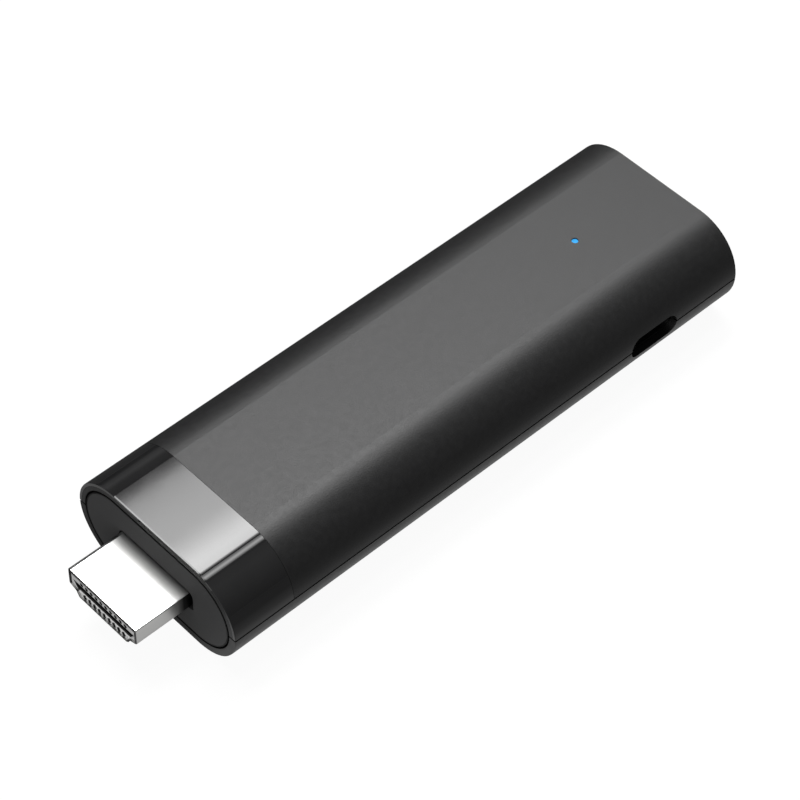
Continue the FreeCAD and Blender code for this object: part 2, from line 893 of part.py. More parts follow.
def aerial(side):
    # A stamped plate on two legs: one grounds it, the other feeds it.
    rear = board_rear_x - aerial_edge_gap
    front = rear - aerial_length
    y1 = board_half - aerial_side_gap
    y0 = y1 - aerial_width
    top = board_top_z + aerial_height
    sheet = block(front, rear, y0, y1, top - aerial_sheet, top)
    ground = block(front + aerial_sheet, front + 2 * aerial_sheet, y0 + aerial_sheet,
                   y0 + aerial_sheet + aerial_leg_width, board_top_z, top)
    feed_y = y0 + aerial_sheet + aerial_feed_offset
    feed = block(front + aerial_sheet, front + 2 * aerial_sheet, feed_y, feed_y + aerial_leg_width,
                 board_top_z, top)
    shape = sheet.fuse([ground, feed]).removeSplitter()
    return both_sides(shape)[0 if side > 0 else 1]


# Power socket

def socket_section(width, height, y0, y1):
    reach = (width - height) / 2

    def place(u, v):
        return vec(u, y0, parting_z + v)
    face = stadium_face(socket_x - reach, socket_x + reach, height / 2, place)
    return face.extrude(vec(0, y1 - y0, 0))


def power_socket_shell():
    tube = socket_section(socket_width, socket_height, socket_mouth_y, socket_end_y)
    inner_width = socket_width - 2 * socket_sheet
    inner_height = socket_height - 2 * socket_sheet
    ears = []
    middle_y = (-board_half + socket_end_y) / 2
    for side in (-1, 1):
        for shift in (-socket_ear_spacing / 2, socket_ear_spacing / 2):
            near = socket_x + side * (socket_width / 2 - socket_sheet)
            tip = socket_x + side * (socket_width / 2 + socket_ear_length)
            y = middle_y + shift
            ears.append(block(min(near, tip), max(near, tip), y - socket_ear_width / 2,
                              y + socket_ear_width / 2, board_top_z, board_top_z + socket_sheet))
    bore = socket_section(inner_width, inner_height, socket_mouth_y - past, socket_end_y + past)
    return tube.fuse(ears).cut(bore).removeSplitter()


def power_strip(x, z):
    # One contact: along the blade, out through the base and down onto the board.
    half = power_contact_thickness / 2
    land_z = board_top_z + half
    bend = power_contact_tail / 4
    line = [
        (socket_mouth_y + power_contact_setback, z),
        (socket_end_y + bend, z),
        (socket_end_y + 2 * bend, land_z),
        (socket_end_y + 4 * bend, land_z),
    ]
    upper = [(y, level + half, 0) for y, level in line]
    lower = [(y, level - half, 0) for y, level in reversed(line)]
    face = rounded_face(upper + lower, along_x(x - power_contact_width / 2))
    return face.extrude(vec(power_contact_width, 0, 0))


def power_contacts():
    strips = []
    level = tongue_blade_thickness / 2 - power_contact_thickness / 2
    for index in range(power_contact_count):
        shift = (index - (power_contact_count - 1) / 2) * power_contact_pitch
        quarter = power_contact_pitch / 4
        strips.append(power_strip(socket_x + shift - quarter, parting_z + level))
        strips.append(power_strip(socket_x + shift + quarter, parting_z - level))
    return strips


def power_socket_tongue(strips):
    gap = 2 * (socket_sheet + socket_fit)
    base = socket_section(socket_width - gap, socket_height - gap, socket_end_y - socket_base_depth,
                          socket_end_y)
    blade = block(socket_x - tongue_blade_width / 2, socket_x + tongue_blade_width / 2,
                  socket_mouth_y + tongue_blade_setback, socket_end_y - socket_base_depth / 2,
                  parting_z - tongue_blade_thickness / 2, parting_z + tongue_blade_thickness / 2)
    return base.fuse(blade).removeSplitter().cut(strips)


# Status light

def status_light_pipe():
    lamp_top = board_top_z + lamp_height
    stem_foot = lamp_top + light_stem_gap
    flange_foot = roof_z - light_flange_height
    stem = chip(light_x, 0, light_stem_size, light_stem_size, stem_foot, flange_foot - stem_foot)
    flange = chip(light_x, 0, light_flange_size, light_flange_size, flange_foot, light_flange_height)
    tip = post(light_x, 0, roof_z, body_height - light_recess, light_hole_diameter - 2 * light_fit)
    return stem.fuse([flange, tip]).removeSplitter()


def status_lamp():
    return chip(light_x, 0, lamp_length, lamp_width, board_top_z, lamp_height)


# Reset switch

def reset_switch_body():
    foot = board_foot_z - switch_height
    body = chip(reset_x, 0, switch_size, switch_size, foot, switch_height)
    cavity = post(reset_x, 0, foot + switch_floor, board_foot_z - switch_roof,
                  plunger_collar_diameter + 2 * plunger_clearance)
    mouth = post(reset_x, 0, foot - past, foot + switch_floor, plunger_diameter + 2 * plunger_clearance)
    return body.cut([cavity, mouth])


def reset_plunger():
    foot = board_foot_z - switch_height
    collar_foot = foot + switch_floor + plunger_clearance
    stem = post(reset_x, 0, foot - plunger_reach, collar_foot, plunger_diameter)
    collar = post(reset_x, 0, collar_foot, collar_foot + plunger_collar_height,
                  plunger_collar_diameter)
    return stem.fuse(collar).removeSplitter()


os.makedirs("parts", exist_ok=True)
tube = housing_tube()
upper_row = upper_contacts()
lower_row = lower_contacts()
power_row = power_contacts()
save("upper_shell", [upper_shell(tube)])
save("lower_shell", [lower_shell(tube)])
save("gloss_band", [gloss_band()])
save("front_end_plate", [front_end_plate()])
save("video_plug_shell", [video_plug_shell()])
save("video_plug_insulator", [video_plug_insulator(upper_row + lower_row)])
save("video_contacts_upper_row", upper_row)
save("video_contacts_lower_row", lower_row)
save("circuit_board", [circuit_board()])
save("board_screws", [board_screw(x, y) for x, y in screw_places()])
save("processor", [processor()])
save("memory_chips", memory_chips())
save("shield_frame", [shield_frame()])
save("shield_lid", [shield_lid()])
save("thermal_pads", thermal_pads())
save("heat_spreader", [heat_spreader()])
save("storage_chip", [storage_chip()])
save("radio_module", [radio_module()])
save("power_inductors", power_inductors())
save("voltage_regulator", [voltage_regulator()])
save("crystal", [crystal()])
save("capacitors", capacitors())
save("aerial_left", [aerial(1)])
save("aerial_right", [aerial(-1)])
save("power_socket_shell", [power_socket_shell()])
save("power_socket_tongue", [power_socket_tongue(power_row)])
save("power_socket_contacts", power_row)
save("status_light_pipe", [status_light_pipe()])
save("status_lamp", [status_lamp()])
save("reset_switch_body", [reset_switch_body()])
save("reset_plunger", [reset_plunger()])
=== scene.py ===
import math

import bmesh
import bpy
from mathutils import Matrix, Vector

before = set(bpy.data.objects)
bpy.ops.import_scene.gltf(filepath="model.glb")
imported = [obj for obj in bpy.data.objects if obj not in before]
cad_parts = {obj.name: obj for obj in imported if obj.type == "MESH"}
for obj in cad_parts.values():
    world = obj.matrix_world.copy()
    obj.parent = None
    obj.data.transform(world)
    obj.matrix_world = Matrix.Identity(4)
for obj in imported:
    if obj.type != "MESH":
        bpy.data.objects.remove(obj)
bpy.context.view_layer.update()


# The camera stands above the corner between the plug and the side with the
# power opening, as in the photograph. The picture is square, 800 by 800.
camera_place = Vector((-0.1743, -0.1781, 0.2987))
camera_back = Vector((-0.4566, -0.4641, 0.7590))
camera_roll = math.radians(1.744)
camera_lens = 123.46
camera_sensor = 36
camera_shift = (-0.00134, 0.0005)
camera_nearest = 0.01

level_right = Vector((0, 0, 1)).cross(camera_back).normalized()
level_up = camera_back.cross(level_right).normalized()
tilted_right = level_right * math.cos(camera_roll) + level_up * math.sin(camera_roll)
tilted_up = camera_back.cross(tilted_right).normalized()
camera_turn = Matrix((tilted_right, tilted_up, camera_back.normalized())).transposed()
camera_data = bpy.data.cameras.new("camera")
camera_data.lens = camera_lens
camera_data.sensor_width = camera_sensor
camera_data.shift_x, camera_data.shift_y = camera_shift
camera_data.clip_start = camera_nearest
camera = bpy.data.objects.new("camera", camera_data)
camera.matrix_world = Matrix.Translation(camera_place) @ camera_turn.to_4x4()
bpy.context.scene.collection.objects.link(camera)
bpy.context.scene.camera = camera
bpy.context.scene.view_settings.view_transform = "Standard"


# The housing is an upper and a lower shell, moulded in black plastic with a fine
# spark-eroded texture. They meet at a shadow gap at half height and snap together.
shell_dark = (0.0085, 0.0085, 0.0088)
shell_light = (0.0115, 0.0115, 0.0118)
shell_roughness = (0.42, 0.47)
shell_grain = 0.00022
shell_grain_depth = 0.000012
plastic_index = 1.5
noise_low, noise_high = 0.3, 0.7
cloud_to_grain = 4
noise_detail = 2


def start_material(name):
    material = bpy.data.materials.new(name)
    material.use_nodes = True
    return material, material.node_tree.nodes["Principled BSDF"]


def add_node(owner, kind, **settings):
    node = owner.node_tree.nodes.new(kind)
    for name, value in settings.items():
        setattr(node, name, value)
    return node


def join(owner, source, target):
    owner.node_tree.links.new(source, target)


def noise_in_place(material, size, detail):
    place = add_node(material, "ShaderNodeTexCoord")
    noise = add_node(material, "ShaderNodeTexNoise")
    noise.inputs["Scale"].default_value = 1 / size
    noise.inputs["Detail"].default_value = detail
    join(material, place.outputs["Object"], noise.inputs["Vector"])
    return noise.outputs["Fac"]


def spread(material, value, low, high):
    # Nearly all of a noise lies in the middle of its range. This spreads it out.
    span = add_node(material, "ShaderNodeMapRange")
    span.inputs["From Min"].default_value = noise_low
    span.inputs["From Max"].default_value = noise_high
    span.inputs["To Min"].default_value = low
    span.inputs["To Max"].default_value = high
    join(material, value, span.inputs["Value"])
    return span.outputs["Result"]


def shade_between(material, value, dark, light):
    blend = add_node(material, "ShaderNodeMix", data_type="RGBA")
    blend.inputs["A"].default_value = (*dark, 1)
    blend.inputs["B"].default_value = (*light, 1)
    join(material, value, blend.inputs["Factor"])
    return blend.outputs["Result"]


def raise_surface(material, shader, value, depth):
    bump = add_node(material, "ShaderNodeBump")
    bump.inputs["Distance"].default_value = depth
    bump.inputs["Strength"].default_value = 1
    join(material, value, bump.inputs["Height"])
    join(material, bump.outputs["Normal"], shader.inputs["Normal"])


def moulded_plastic(name, dark, light, roughness, grain, depth, index=plastic_index):
    material, shader = start_material(name)
    cloud = noise_in_place(material, grain * cloud_to_grain, noise_detail)
    tone = shade_between(material, spread(material, cloud, 0, 1), dark, light)
    join(material, tone, shader.inputs["Base Color"])
    join(material, spread(material, cloud, *roughness), shader.inputs["Roughness"])
    raise_surface(material, shader, noise_in_place(material, grain, noise_detail), depth)
    shader.inputs["IOR"].default_value = index
    return material


def finish_node(node, material):
    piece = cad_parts[node]
    piece.data.materials.clear()
    piece.data.materials.append(material)


# Light hardly reaches inside the shells' wall, behind the seam and the power
# opening, or into the groove round the end plate. Painted shade: the plastic is
# painted near black there.
shadow_black = (0.002, 0.002, 0.002)
round_centre = 0.008
under_skin = (0.00797, 0.00785)
behind_lip = (-0.0435, -0.0434)
at_groove = (0.00702, 0.00698)
before_end = (0.0525, 0.0524)


def axis_of(material, output, axis):
    # One axis of the place ("Object") or of the face's direction ("Normal").
    place = add_node(material, "ShaderNodeTexCoord")
    split = add_node(material, "ShaderNodeSeparateXYZ")
    join(material, place.outputs[output], split.inputs["Vector"])
    return split.outputs[axis]


def work_out(owner, operation, *values):
    node = add_node(owner, "ShaderNodeMath", operation=operation)
    for socket, value in zip(node.inputs, values):
        if isinstance(value, (int, float)):
            socket.default_value = value
        else:
            join(owner, value, socket)
    return node.outputs[0]


def both(owner, first, second):
    return work_out(owner, "MULTIPLY", first, second)


def either(owner, first, second):
    return work_out(owner, "MAXIMUM", first, second)


def rise(material, value, low, high):
    # Goes from 0 to 1 as the value goes from low to high.
    span = add_node(material, "ShaderNodeMapRange")
    span.inputs["From Min"].default_value = low
    span.inputs["From Max"].default_value = high
    join(material, value, span.inputs["Value"])
    return span.outputs["Result"]


def length_of(material, first, second):
    squares = [both(material, side, side) for side in (first, second)]
    return work_out(material, "SQRT", work_out(material, "ADD", *squares))


def from_core(material):
    # The section is two half rounds joined by flats. This is the distance from
    # the line between the centres of the rounds.
    beside = work_out(material, "ABSOLUTE", axis_of(material, "Object", "Y"))
    beside = either(material, work_out(material, "SUBTRACT", beside, round_centre), 0)
    above = work_out(material, "SUBTRACT", axis_of(material, "Object", "Z"), round_centre)
    return length_of(material, beside, above)


def repaint(material, share, colour):
    # Turns the material to the colour where the share is 1.
    shader = material.node_tree.nodes["Principled BSDF"]
    tone = shader.inputs["Base Color"].links[0].from_socket
    blend = add_node(material, "ShaderNodeMix", data_type="RGBA")
    blend.inputs["B"].default_value = (*colour, 1)
    join(material, share, blend.inputs["Factor"])
    join(material, tone, blend.inputs["A"])
    join(material, blend.outputs["Result"], shader.inputs["Base Color"])


shell_plastic = moulded_plastic("shell_plastic", shell_dark, shell_light, shell_roughness,
                                shell_grain, shell_grain_depth)
shell_reach = from_core(shell_plastic)
shell_along = axis_of(shell_plastic, "Object", "X")
in_wall = both(shell_plastic, rise(shell_plastic, shell_reach, *under_skin),
               rise(shell_plastic, shell_along, *behind_lip))
in_shadow = either(shell_plastic, in_wall, rise(shell_plastic, shell_reach, *at_groove))
in_shadow = both(shell_plastic, in_shadow, rise(shell_plastic, shell_along, *before_end))
repaint(shell_plastic, in_shadow, shadow_black)
finish_node("upper_shell", shell_plastic)
finish_node("lower_shell", shell_plastic)


# The gloss band is a thin half ring of black plastic, moulded in a polished
# tool. It is bonded in a rebate over the front of the upper shell.
band_gloss = moulded_plastic(
    "band_gloss", dark=(0.010, 0.010, 0.0104), light=(0.012, 0.012, 0.0124),
    roughness=(0.03, 0.045), grain=0.0009, depth=0.0000002, index=1.58)
finish_node("gloss_band", band_gloss)


# The end plate closes the front of both shells. It is moulded in satin plastic,
# with a groove all round and an opening that follows the plug, and a rib on
# each shell traps it.
# Painted shadow: the plate's outer rim, by the groove, is painted near black.
plate_edge = (0.00628, 0.00632)

end_plate_plastic = moulded_plastic(
    "end_plate_plastic", dark=(0.041, 0.041, 0.0415), light=(0.048, 0.048, 0.0485),
    roughness=(0.56, 0.62), grain=0.00015, depth=0.000004, index=1.3)
plate_rim_shadow = rise(end_plate_plastic, from_core(end_plate_plastic), *plate_edge)
repaint(end_plate_plastic, plate_rim_shadow, shadow_black)
finish_node("front_end_plate", end_plate_plastic)


# The video plug's shell is folded from bright nickel-plated steel sheet, and
# rolling leaves faint lines along it. Its leg tabs are soldered to the board.
plug_dark = (0.58, 0.58, 0.57)
plug_light = (0.64, 0.64, 0.63)
plug_roughness = 0.28
lines_per_metre = 1400
line_stretch = (0.06, 1, 1)
line_detail = 1

plug_steel, plug_shader = start_material("plug_steel")
plug_place = add_node(plug_steel, "ShaderNodeTexCoord")
plug_stretch = add_node(plug_steel, "ShaderNodeMapping")
plug_stretch.inputs["Scale"].default_value = line_stretch
plug_lines = add_node(plug_steel, "ShaderNodeTexNoise")
plug_lines.inputs["Scale"].default_value = lines_per_metre
plug_lines.inputs["Detail"].default_value = line_detail
join(plug_steel, plug_place.outputs["Object"], plug_stretch.inputs["Vector"])
join(plug_steel, plug_stretch.outputs["Vector"], plug_lines.inputs["Vector"])
plug_tone = shade_between(plug_steel, plug_lines.outputs["Fac"], plug_dark, plug_light)
join(plug_steel, plug_tone, plug_shader.inputs["Base Color"])
plug_shader.inputs["Roughness"].default_value = plug_roughness
plug_shader.inputs["Metallic"].default_value = 1

# Painted shade on the sheet: its cut edge at the mouth, its far fold and the part
# near the end plate are painted darker, and its near side is painted dark where
# it enters the plate.
mouth_face = (-0.3, -0.5)
far_fold = (0.00648, 0.00656)
near_plate = (-0.0446, -0.0437)
side_face = (-0.3, -0.7)
in_plate = (-0.0457, -0.0446)
cut_edge_shade = (0.13, 0.13, 0.13)
far_fold_shade = (0.025, 0.025, 0.025)
steel_shade_near_plate = (0.25, 0.25, 0.25)
steel_shadow_in_plate = (0.05, 0.05, 0.05)

plug_along = axis_of(plug_steel, "Object", "X")
plug_across = axis_of(plug_steel, "Object", "Y")
cut_edge = rise(plug_steel, axis_of(plug_steel, "Normal", "X"), *mouth_face)
plug_side = rise(plug_steel, axis_of(plug_steel, "Normal", "Y"), *side_face)
held_side = both(plug_steel, rise(plug_steel, plug_along, *in_plate), plug_side)
repaint(plug_steel, cut_edge, cut_edge_shade)
repaint(plug_steel, rise(plug_steel, plug_across, *far_fold), far_fold_shade)
repaint(plug_steel, rise(plug_steel, plug_along, *near_plate), steel_shade_near_plate)
repaint(plug_steel, held_side, steel_shadow_in_plate)
finish_node("video_plug_shell", plug_steel)


# The insulator inside the plug is moulded in light grey plastic, with a slot,
# two rows of holes and a channel for each contact. The plug's shell grips it.
plug_insulator = moulded_plastic(
    "plug_insulator", dark=(0.66, 0.66, 0.655), light=(0.74, 0.74, 0.735),
    roughness=(0.42, 0.5), grain=0.0002, depth=0.000003)

# Its chamfers are painted near white as a painted highlight. The holes and close
# round them, the slot, all that lies behind the front face and the strip under
# the folded sheet are painted dark as painted shadow.
deep_shadow = (0.004, 0.004, 0.004)
sheet_shadow = (0.12, 0.12, 0.12)
chamfer_painted_highlight = (0.9, 0.9, 0.89)
contact_pitch = 0.001
hole_shadow_edge = 0.00005
chamfer_face = (-0.95, -0.8)
inner_face = (-0.6, -0.5)
under_sheet = (0.0084, 0.0088)
slot_shadow_top = (0.00780, 0.00773)
slot_shadow_foot = (0.00762, 0.00766)
slot_half_width = (0.0063, 0.0062)
behind_front = (-0.05242, -0.05238)


def hole_shadow_share(material, count, shift, height, reach):
    # One row of contact holes: 1 in the holes and close round them, where the
    # painted shadow goes.
    along = axis_of(material, "Object", "Y")
    step = work_out(material, "ADD", work_out(material, "DIVIDE", along, contact_pitch), shift)
    step = work_out(material, "SUBTRACT", work_out(material, "FRACT", step), 0.5)
    above = work_out(material, "SUBTRACT", axis_of(material, "Object", "Z"), height)
    near = length_of(material, both(material, step, contact_pitch), above)
    beside = work_out(material, "ABSOLUTE", along)
    in_row = work_out(material, "LESS_THAN", beside, count * contact_pitch / 2)
    return both(material, rise(material, near, reach, reach - hole_shadow_edge), in_row)


face_toward = axis_of(plug_insulator, "Normal", "X")
face_height = axis_of(plug_insulator, "Object", "Z")
face_depth = axis_of(plug_insulator, "Object", "X")
upper_hole_shadow = hole_shadow_share(plug_insulator, count=10, shift=0, height=0.008115, reach=0.00035)
lower_hole_shadow = hole_shadow_share(plug_insulator, count=9, shift=0.5, height=0.005845, reach=0.00041)
over_slot = both(plug_insulator, rise(plug_insulator, face_height, *slot_shadow_top),
                 rise(plug_insulator, face_height, *slot_shadow_foot))
beside_middle = work_out(plug_insulator, "ABSOLUTE", axis_of(plug_insulator, "Object", "Y"))
over_slot = both(plug_insulator, over_slot, rise(plug_insulator, beside_middle, *slot_half_width))
repaint(plug_insulator, rise(plug_insulator, face_toward, *chamfer_face), chamfer_painted_highlight)
repaint(plug_insulator, upper_hole_shadow, deep_shadow)
repaint(plug_insulator, lower_hole_shadow, deep_shadow)
repaint(plug_insulator, rise(plug_insulator, face_height, *under_sheet), sheet_shadow)
repaint(plug_insulator, over_slot, deep_shadow)
repaint(plug_insulator, rise(plug_insulator, face_toward, *inner_face), deep_shadow)
repaint(plug_insulator, rise(plug_insulator, face_depth, *behind_front), deep_shadow)
finish_node("video_plug_insulator", plug_insulator)


# Nineteen spring contacts run through the insulator, ten above and nine below.
# They are stamped from copper alloy, bent, thinly gold-plated, and soldered to
# the front of the board.
metal_noise_detail = 3


def plated_metal(name, dark, light, roughness, grain):
    material, shader = start_material(name)
    cloud = noise_in_place(material, grain, metal_noise_detail)
    tone = shade_between(material, spread(material, cloud, 0, 1), dark, light)
    join(material, tone, shader.inputs["Base Color"])
    join(material, spread(material, cloud, *roughness), shader.inputs["Roughness"])
    shader.inputs["Metallic"].default_value = 1
    return material


contact_gold = plated_metal(
    "contact_gold", dark=(0.78, 0.56, 0.22), light=(0.86, 0.66, 0.32),
    roughness=(0.22, 0.32), grain=0.0004)
finish_node("video_contacts_upper_row", contact_gold)
finish_node("video_contacts_lower_row", contact_gold)


# The power socket is soldered to the edge of the board, behind the opening in
# the side. It is a drawn steel shell round a black moulded tongue, with
# gold-plated contacts on both faces of the tongue. The shell is painted near
# black as painted shade inside the opening.
socket_steel = plated_metal(
    "socket_steel", dark=(0.030, 0.030, 0.030), light=(0.045, 0.045, 0.045),
    roughness=(0.4, 0.5), grain=0.0005)
socket_plastic = moulded_plastic(
    "socket_plastic", dark=(0.006, 0.006, 0.006), light=(0.009, 0.009, 0.009),
    roughness=(0.5, 0.6), grain=0.0002, depth=0.000003)
finish_node("power_socket_shell", socket_steel)
finish_node("power_socket_tongue", socket_plastic)
finish_node("power_socket_contacts", contact_gold)


# The status light is a moulded clear pipe that hangs in a guide of the upper
# shell. It carries the blue of the lamp on the board to a small window in the top.
glow_dark = (0.015, 0.20, 0.45)
glow_light = (0.025, 0.26, 0.56)
glow_cloud = 0.0006
glow_detail = 1
glow_strength = 0.75
pipe_roughness = 0.6
pipe_index = 1.3

light_pipe, light_shader = start_material("light_pipe_clear")
light_cloud = noise_in_place(light_pipe, glow_cloud, glow_detail)
light_tone = shade_between(light_pipe, light_cloud, glow_dark, glow_light)
join(light_pipe, light_tone, light_shader.inputs["Base Color"])
join(light_pipe, light_tone, light_shader.inputs["Emission Color"])
light_shader.inputs["Emission Strength"].default_value = glow_strength
light_shader.inputs["Roughness"].default_value = pipe_roughness
light_shader.inputs["IOR"].default_value = pipe_index
lamp_resin = moulded_plastic(
    "lamp_resin", dark=(0.12, 0.45, 0.75), light=(0.2, 0.55, 0.85),
    roughness=(0.3, 0.4), grain=0.0003, depth=0.000002)
finish_node("status_light_pipe", light_pipe)
finish_node("status_lamp", lamp_resin)


# The reset switch is soldered under the board: a black moulded body and a red
# plunger that slides up into it. A pin reaches the plunger through the pinhole.
switch_plastic = moulded_plastic(
    "switch_plastic", dark=(0.03, 0.03, 0.03), light=(0.04, 0.04, 0.04),
    roughness=(0.5, 0.6), grain=0.0002, depth=0.000003)
plunger_plastic = moulded_plastic(
    "plunger_plastic", dark=(0.5, 0.08, 0.05), light=(0.6, 0.11, 0.07),
    roughness=(0.4, 0.5), grain=0.0002, depth=0.000003)
finish_node("reset_switch_body", switch_plastic)
finish_node("reset_plunger", plunger_plastic)


# The circuit board is glass laminate under green solder mask, milled to shape.
# Most tracks lie under the mask. The lower shell's ribs carry it, and two steel
# screws hold it on their bosses.
mask_dark = (0.016, 0.10, 0.045, 1)
mask_light = (0.02, 0.13, 0.055, 1)
mask_on_track = (0.035, 0.19, 0.085, 1)
mask_roughness = (0.25, 0.35)
mask_cloud = 0.001
tracks_per_metre = 400
track_share = 0.06

board_laminate, board_shader = start_material("board_laminate")
board_place = add_node(board_laminate, "ShaderNodeTexCoord")
board_tracks = add_node(board_laminate, "ShaderNodeTexBrick")
board_tracks.inputs["Scale"].default_value = tracks_per_metre
board_tracks.inputs["Mortar Size"].default_value = track_share
board_tracks.inputs["Color1"].default_value = mask_dark
board_tracks.inputs["Color2"].default_value = mask_light
board_tracks.inputs["Mortar"].default_value = mask_on_track
board_cloud = noise_in_place(board_laminate, mask_cloud, noise_detail)
board_sheen = spread(board_laminate, board_cloud, *mask_roughness)
join(board_laminate, board_place.outputs["Object"], board_tracks.inputs["Vector"])
join(board_laminate, board_tracks.outputs["Color"], board_shader.inputs["Base Color"])
join(board_laminate, board_sheen, board_shader.inputs["Roughness"])
screw_steel = plated_metal(
    "screw_steel", dark=(0.5, 0.5, 0.5), light=(0.6, 0.6, 0.6),
    roughness=(0.2, 0.3), grain=0.0005)
finish_node("circuit_board", board_laminate)
finish_node("board_screws", screw_steel)


# The chips are silicon moulded into black epoxy blocks and soldered flat: the
# processor and the memory on top of the board, the storage and the voltage
# regulator under it.
chip_epoxy = moulded_plastic(
    "chip_epoxy", dark=(0.022, 0.022, 0.024), light=(0.03, 0.03, 0.032),
    roughness=(0.45, 0.6), grain=0.00015, depth=0.000004)
for chip in ("processor", "memory_chips", "storage_chip", "voltage_regulator"):
    finish_node(chip, chip_epoxy)


# Two power inductors, each a coil pressed into a block of grey ferrite, and a
# dozen fired ceramic capacitors. All are soldered by their ends.
ferrite = moulded_plastic(
    "ferrite", dark=(0.06, 0.06, 0.064), light=(0.085, 0.085, 0.09),
    roughness=(0.6, 0.75), grain=0.0003, depth=0.00001)
capacitor_ceramic = moulded_plastic(
    "capacitor_ceramic", dark=(0.38, 0.27, 0.17), light=(0.46, 0.34, 0.23),
    roughness=(0.4, 0.5), grain=0.0002, depth=0.000003)
finish_node("power_inductors", ferrite)
finish_node("capacitors", capacitor_ceramic)


# Pieces stamped and folded from tin-plated sheet: the shield's frame, soldered
# round the processor, its lid, pressed over the frame, the cans of the radio and
# the crystal, and the two aerials on their legs.
tinned_sheet = plated_metal(
    "tinned_sheet", dark=(0.56, 0.56, 0.54), light=(0.64, 0.64, 0.62),
    roughness=(0.3, 0.42), grain=0.0012)
for sheet in ("shield_frame", "shield_lid", "radio_module", "crystal",
              "aerial_left", "aerial_right"):
    finish_node(sheet, tinned_sheet)


# Two soft silicone pads, cut from sheet, lead the processor's heat to the lid
# and on to the spreader. The spreader is stamped from aluminium and hangs on
# two pegs of the upper shell, staked over under it.
pad_silicone = moulded_plastic(
    "pad_silicone", dark=(0.42, 0.46, 0.52), light=(0.5, 0.54, 0.6),
    roughness=(0.7, 0.85), grain=0.0004, depth=0.00001, index=1.45)
spreader_aluminium = plated_metal(
    "spreader_aluminium", dark=(0.66, 0.67, 0.68), light=(0.74, 0.75, 0.76),
    roughness=(0.35, 0.45), grain=0.0008)
finish_node("thermal_pads", pad_silicone)
finish_node("heat_spreader", spreader_aluminium)


# The floor is a plain white paper sheet that runs out of the picture on all
# sides and keeps a faint shadow of the stick. For the stick's gloss a pool of
# light along it and a grey patch before the plug are painted on it, as painted
# reflection.
floor_reach = 3.0
floor_drop = 0.00005
floor_glow = 1.04
floor_share_seen = 0.9
paper_seen = (0.8, 0.8, 0.8, 1)
paper_in_bounce = (0.04, 0.04, 0.04, 1)
pool_from_y, pool_to_y = -0.10, 0.02
pool_stops = ((0, 0.12), (0.44, 0.12), (0.6, 0.24), (0.658, 0.42), (0.69, 0.64),
              (0.735, 0.58), (0.78, 0.14), (0.9, 0.12), (1, 0.01))
patch_along = (-0.0545, -0.0465, 0.0015)
patch_across = (0.010, 0.030, 0.003)
patch_level = 0.34


def white_seen(owner, by_camera, by_mirror):
    # The share of plain white that the camera sees, and that mirror and glass
    # rays see.
    path = add_node(owner, "ShaderNodeLightPath")
    seen = both(owner, path.outputs["Is Camera Ray"], by_camera)
    for ray in ("Is Glossy Ray", "Is Transmission Ray"):
        seen = either(owner, seen, both(owner, path.outputs[ray], by_mirror))
    return seen


def patch_between(material, axis, low, high, edge):
    # Rises at the low end and falls at the high end, over the soft edge.
    place = axis_of(material, "Object", axis)
    rising = rise(material, place, low - edge, low + edge)
    falling = rise(material, place, high + edge, high - edge)
    return both(material, rising, falling)


floor_mesh = bmesh.new()
bmesh.ops.create_grid(floor_mesh, x_segments=2, y_segments=2, size=floor_reach)
floor_data = bpy.data.meshes.new("floor")
floor_mesh.to_mesh(floor_data)
floor_mesh.free()
floor = bpy.data.objects.new("floor", floor_data)
floor.location.z = -floor_drop
bpy.context.scene.collection.objects.link(floor)

floor_paper = bpy.data.materials.new("floor_paper")
floor_paper.use_nodes = True
floor_paper.node_tree.nodes.clear()
pool_place = rise(floor_paper, axis_of(floor_paper, "Object", "Y"), pool_from_y, pool_to_y)
floor_pool = add_node(floor_paper, "ShaderNodeValToRGB")
join(floor_paper, pool_place, floor_pool.inputs["Fac"])
while len(floor_pool.color_ramp.elements) < len(pool_stops):
    floor_pool.color_ramp.elements.new(1)
for element, (place, level) in zip(floor_pool.color_ramp.elements, pool_stops):
    element.position = place
    element.color = (level, level, level, 1)
floor_patch = both(floor_paper, patch_between(floor_paper, "X", *patch_along),
                   patch_between(floor_paper, "Y", *patch_across))
floor_patch = both(floor_paper, floor_patch, patch_level)
floor_mirrored = either(floor_paper, floor_pool.outputs["Color"], floor_patch)

floor_eye = add_node(floor_paper, "ShaderNodeLightPath")
floor_tone = add_node(floor_paper, "ShaderNodeMix", data_type="RGBA")
floor_tone.inputs["A"].default_value = paper_in_bounce
floor_tone.inputs["B"].default_value = paper_seen
join(floor_paper, floor_eye.outputs["Is Camera Ray"], floor_tone.inputs["Factor"])
floor_matte = add_node(floor_paper, "ShaderNodeBsdfDiffuse")
join(floor_paper, floor_tone.outputs["Result"], floor_matte.inputs["Color"])
floor_white = add_node(floor_paper, "ShaderNodeEmission")
floor_white.inputs["Strength"].default_value = floor_glow
floor_mix = add_node(floor_paper, "ShaderNodeMixShader")
floor_out = add_node(floor_paper, "ShaderNodeOutputMaterial")
floor_white_share = white_seen(floor_paper, floor_share_seen, floor_mirrored)
join(floor_paper, floor_white_share, floor_mix.inputs["Fac"])
join(floor_paper, floor_matte.outputs["BSDF"], floor_mix.inputs[1])
join(floor_paper, floor_white.outputs["Emission"], floor_mix.inputs[2])
join(floor_paper, floor_mix.outputs["Shader"], floor_out.inputs["Surface"])
floor_paper.cycles.emission_sampling = "NONE"
floor_data.materials.append(floor_paper)


# The room round the floor is plain white to the eye and gives a soft even
# light. The stick's gloss finds it nearly dark.
room_light = 0.12
room_white = 1.0
room_in_gloss = 0.06

